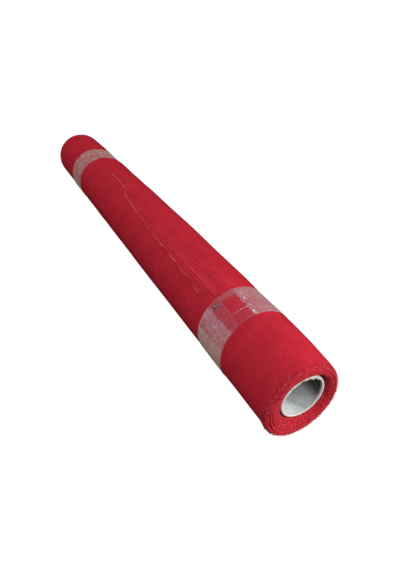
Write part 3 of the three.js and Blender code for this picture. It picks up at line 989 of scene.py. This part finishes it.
# Painted glints: place in mm and degrees, half widths in mm along and round, strength
NEAR_GLINTS = [
    (293, 92.5, 3.2, 1.2, 1.7), (288, 94, 2.4, 0.8, 1.1), (281, 90, 1.6, 1.2, 0.9),
    (269, 88.5, 2.2, 1.5, 1.0), (260, 87, 1.2, 1.8, 0.9), (285, 88, 1.2, 1.0, 0.7),
    (273, 92, 1.0, 1.0, 0.7), (264, 91, 0.8, 1.4, 0.7), (268, 156, 1.5, 1.1, 1.3),
    (284, 154, 1.6, 1.0, 1.2), (281.5, 160, 0.9, 2.0, 1.0), (286, 148.5, 1.2, 0.9, 0.9),
    (292, 153, 1.1, 1.0, 0.9), (289, 158, 0.9, 1.2, 0.9), (262, 151, 0.8, 0.8, 0.7),
    (282, 105, 0.6, 2.0, 1.3), (282, 95, 0.6, 1.2, 1.1), (276, 84, 1.4, 0.8, 0.5),
    (256, 128, 1.2, 0.6, 0.8), (258, 122, 0.6, 1.6, 0.7), (254, 140, 0.7, 2.0, 0.5),
    (272, 146, 1.6, 0.7, 0.5),
]


def far_film(x, angle):
    """The far band, two turns laid askew, is milky all round, as both have lifted."""
    share = (x - x.min()) / (x.max() - x.min())
    turned = (angle + 60) % 360 - 60 + 0 * x
    broad = soft_noise(angle / 360, share, 30, 6, 61)
    small = soft_noise(angle / 360, share, 110, 16, 64)
    fine = crinkle(angle, x, 70, 12, 62)
    solid = np.interp(turned, FAR_ANGLES, FAR_SOLID) + 0.08 * broad + 0.07 * small + 0.06 * fine
    haze = np.stack([np.interp(turned, FAR_ANGLES, column) for column in np.array(FAR_HAZES).T], -1)
    haze = haze * (1 + 0.14 * small + 0.10 * broad)[..., None]
    far_rim = line_at((1 - share) * 52 - 49, 2.2) + line_at((1 - share) * 52 - 3, 1.2) * 0.6
    pale = far_rim * smooth((turned - 120) / 40) * 0.5
    haze = mix(haze, np.array((0.60, 0.56, 0.46)), pale[..., None])
    # Painted glints on flecks and crinkles
    flecks = soft_noise(angle / 360, share, 200, 40, 63)
    glint = np.clip(flecks - 0.66, 0, 1) * 1.3 + 0.3 * fine * (small > 0.3)
    return np.clip(solid, 0.2, 0.9), np.clip(glint, 0, 1), haze, 0 * x, 0.10 * fine + 0.15 * broad


# The far band going round: degrees, how solid it looks, and the colour of its haze; towards 200 degrees,
# low on the roll's side, it is lighter and more solid, partly as a painted reflection of the white floor
FAR_ANGLES = [-60, 50, 65, 90, 130, 165, 185, 200, 300]
FAR_SOLID = [0.6, 0.6, 0.5, 0.45, 0.46, 0.5, 0.62, 0.75, 0.6]
FAR_HAZES = [
    (0.60, 0.44, 0.42), (0.66, 0.46, 0.45), (0.62, 0.39, 0.38), (0.60, 0.34, 0.34), (0.66, 0.34, 0.32),
    (0.66, 0.38, 0.34), (0.78, 0.56, 0.47), (0.92, 0.72, 0.60), (0.60, 0.44, 0.42),
]


def film_band(name, pinch, marks_of, middle, half, lean, lean_to):
    """One band as rows across its width; the first and last row turn down to the cloth."""
    angle = np.arange(FILM_COLUMNS)[None, :] * (360 / FILM_COLUMNS)
    across = np.linspace(half, -half, int(2 * half / FILM_PITCH))[:, None]
    x = middle + across + lean * np.cos(np.radians(angle - lean_to))
    milk, glint, haze, doubled, raised = marks_of(x, angle)
    cloth = under_film(pinch, x)
    radius = cloth + FILM_GAP + FILM_STEP * doubled + MM * raised
    edge_in = np.ones_like(across)
    edge_in[[0, -1]] = 0
    radius = mix(cloth + 0.05 * MM, radius, edge_in)
    points = on_roll(x, angle, radius)
    uv_round = np.linspace(0, 1, FILM_COLUMNS + 1)[None, :] * ROUND
    uv_long = np.vstack([across, across[-1:]])[:-1] + 0.1
    marks = {"milky": milk, "glint": glint, "haze": haze}
    return grid_piece(name, points, uv=(uv_round, uv_long), marks=marks)


def film_finish(name):
    """Film that hides the cloth as far as it is milky, with crinkles and bright painted glints."""
    made, tree, shader = new_finish(name, Roughness=0.35, Specular_IOR_Level=0.3)
    uv = node(tree, "ShaderNodeUVMap", uv_map="cloth").outputs[0]
    milky = node(tree, "ShaderNodeAttribute", attribute_name="milky").outputs["Fac"]
    glint = node(tree, "ShaderNodeAttribute", attribute_name="glint").outputs["Fac"]
    haze = node(tree, "ShaderNodeAttribute", attribute_name="haze").outputs["Color"]
    cloudy = noise(tree, uv, 300, 4.0)
    vary = node(tree, "ShaderNodeMapRange", cloudy.outputs[0], 0.3, 0.7, 0.8, 1.2)
    solid = node(tree, "ShaderNodeMath", milky, vary.outputs[0], operation="MULTIPLY")
    solid = node(tree, "ShaderNodeMath", solid.outputs[0], glint, operation="MAXIMUM", use_clamp=True)
    tree.links.new(solid.outputs[0], shader.inputs["Alpha"])
    tree.links.new(colour_mix(tree, glint, haze, (0.96, 0.94, 0.96, 1)), shader.inputs["Base Color"])
    cells = node(tree, "ShaderNodeTexVoronoi", uv, feature="DISTANCE_TO_EDGE")
    cells.inputs["Scale"].default_value = 240
    bumped(tree, shader, cells.outputs["Distance"], 0.5, 0.0003)
    return made


for name, pinch, marks_of, middle, half, lean, lean_to in (
    ("film_band_near", PINCHES[0], near_film, 273.4 * MM, 24.8 * MM, 1.2 * MM, 190),
    ("film_band_far", PINCHES[1], far_film, -243 * MM, 26.2 * MM, 4.5 * MM, 60),
):
    film = film_band(name, pinch, marks_of, middle, half, lean, lean_to)
    film.data.materials.append(film_finish(name + "_finish"))
    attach(film, "root")
    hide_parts(pinch["node"])
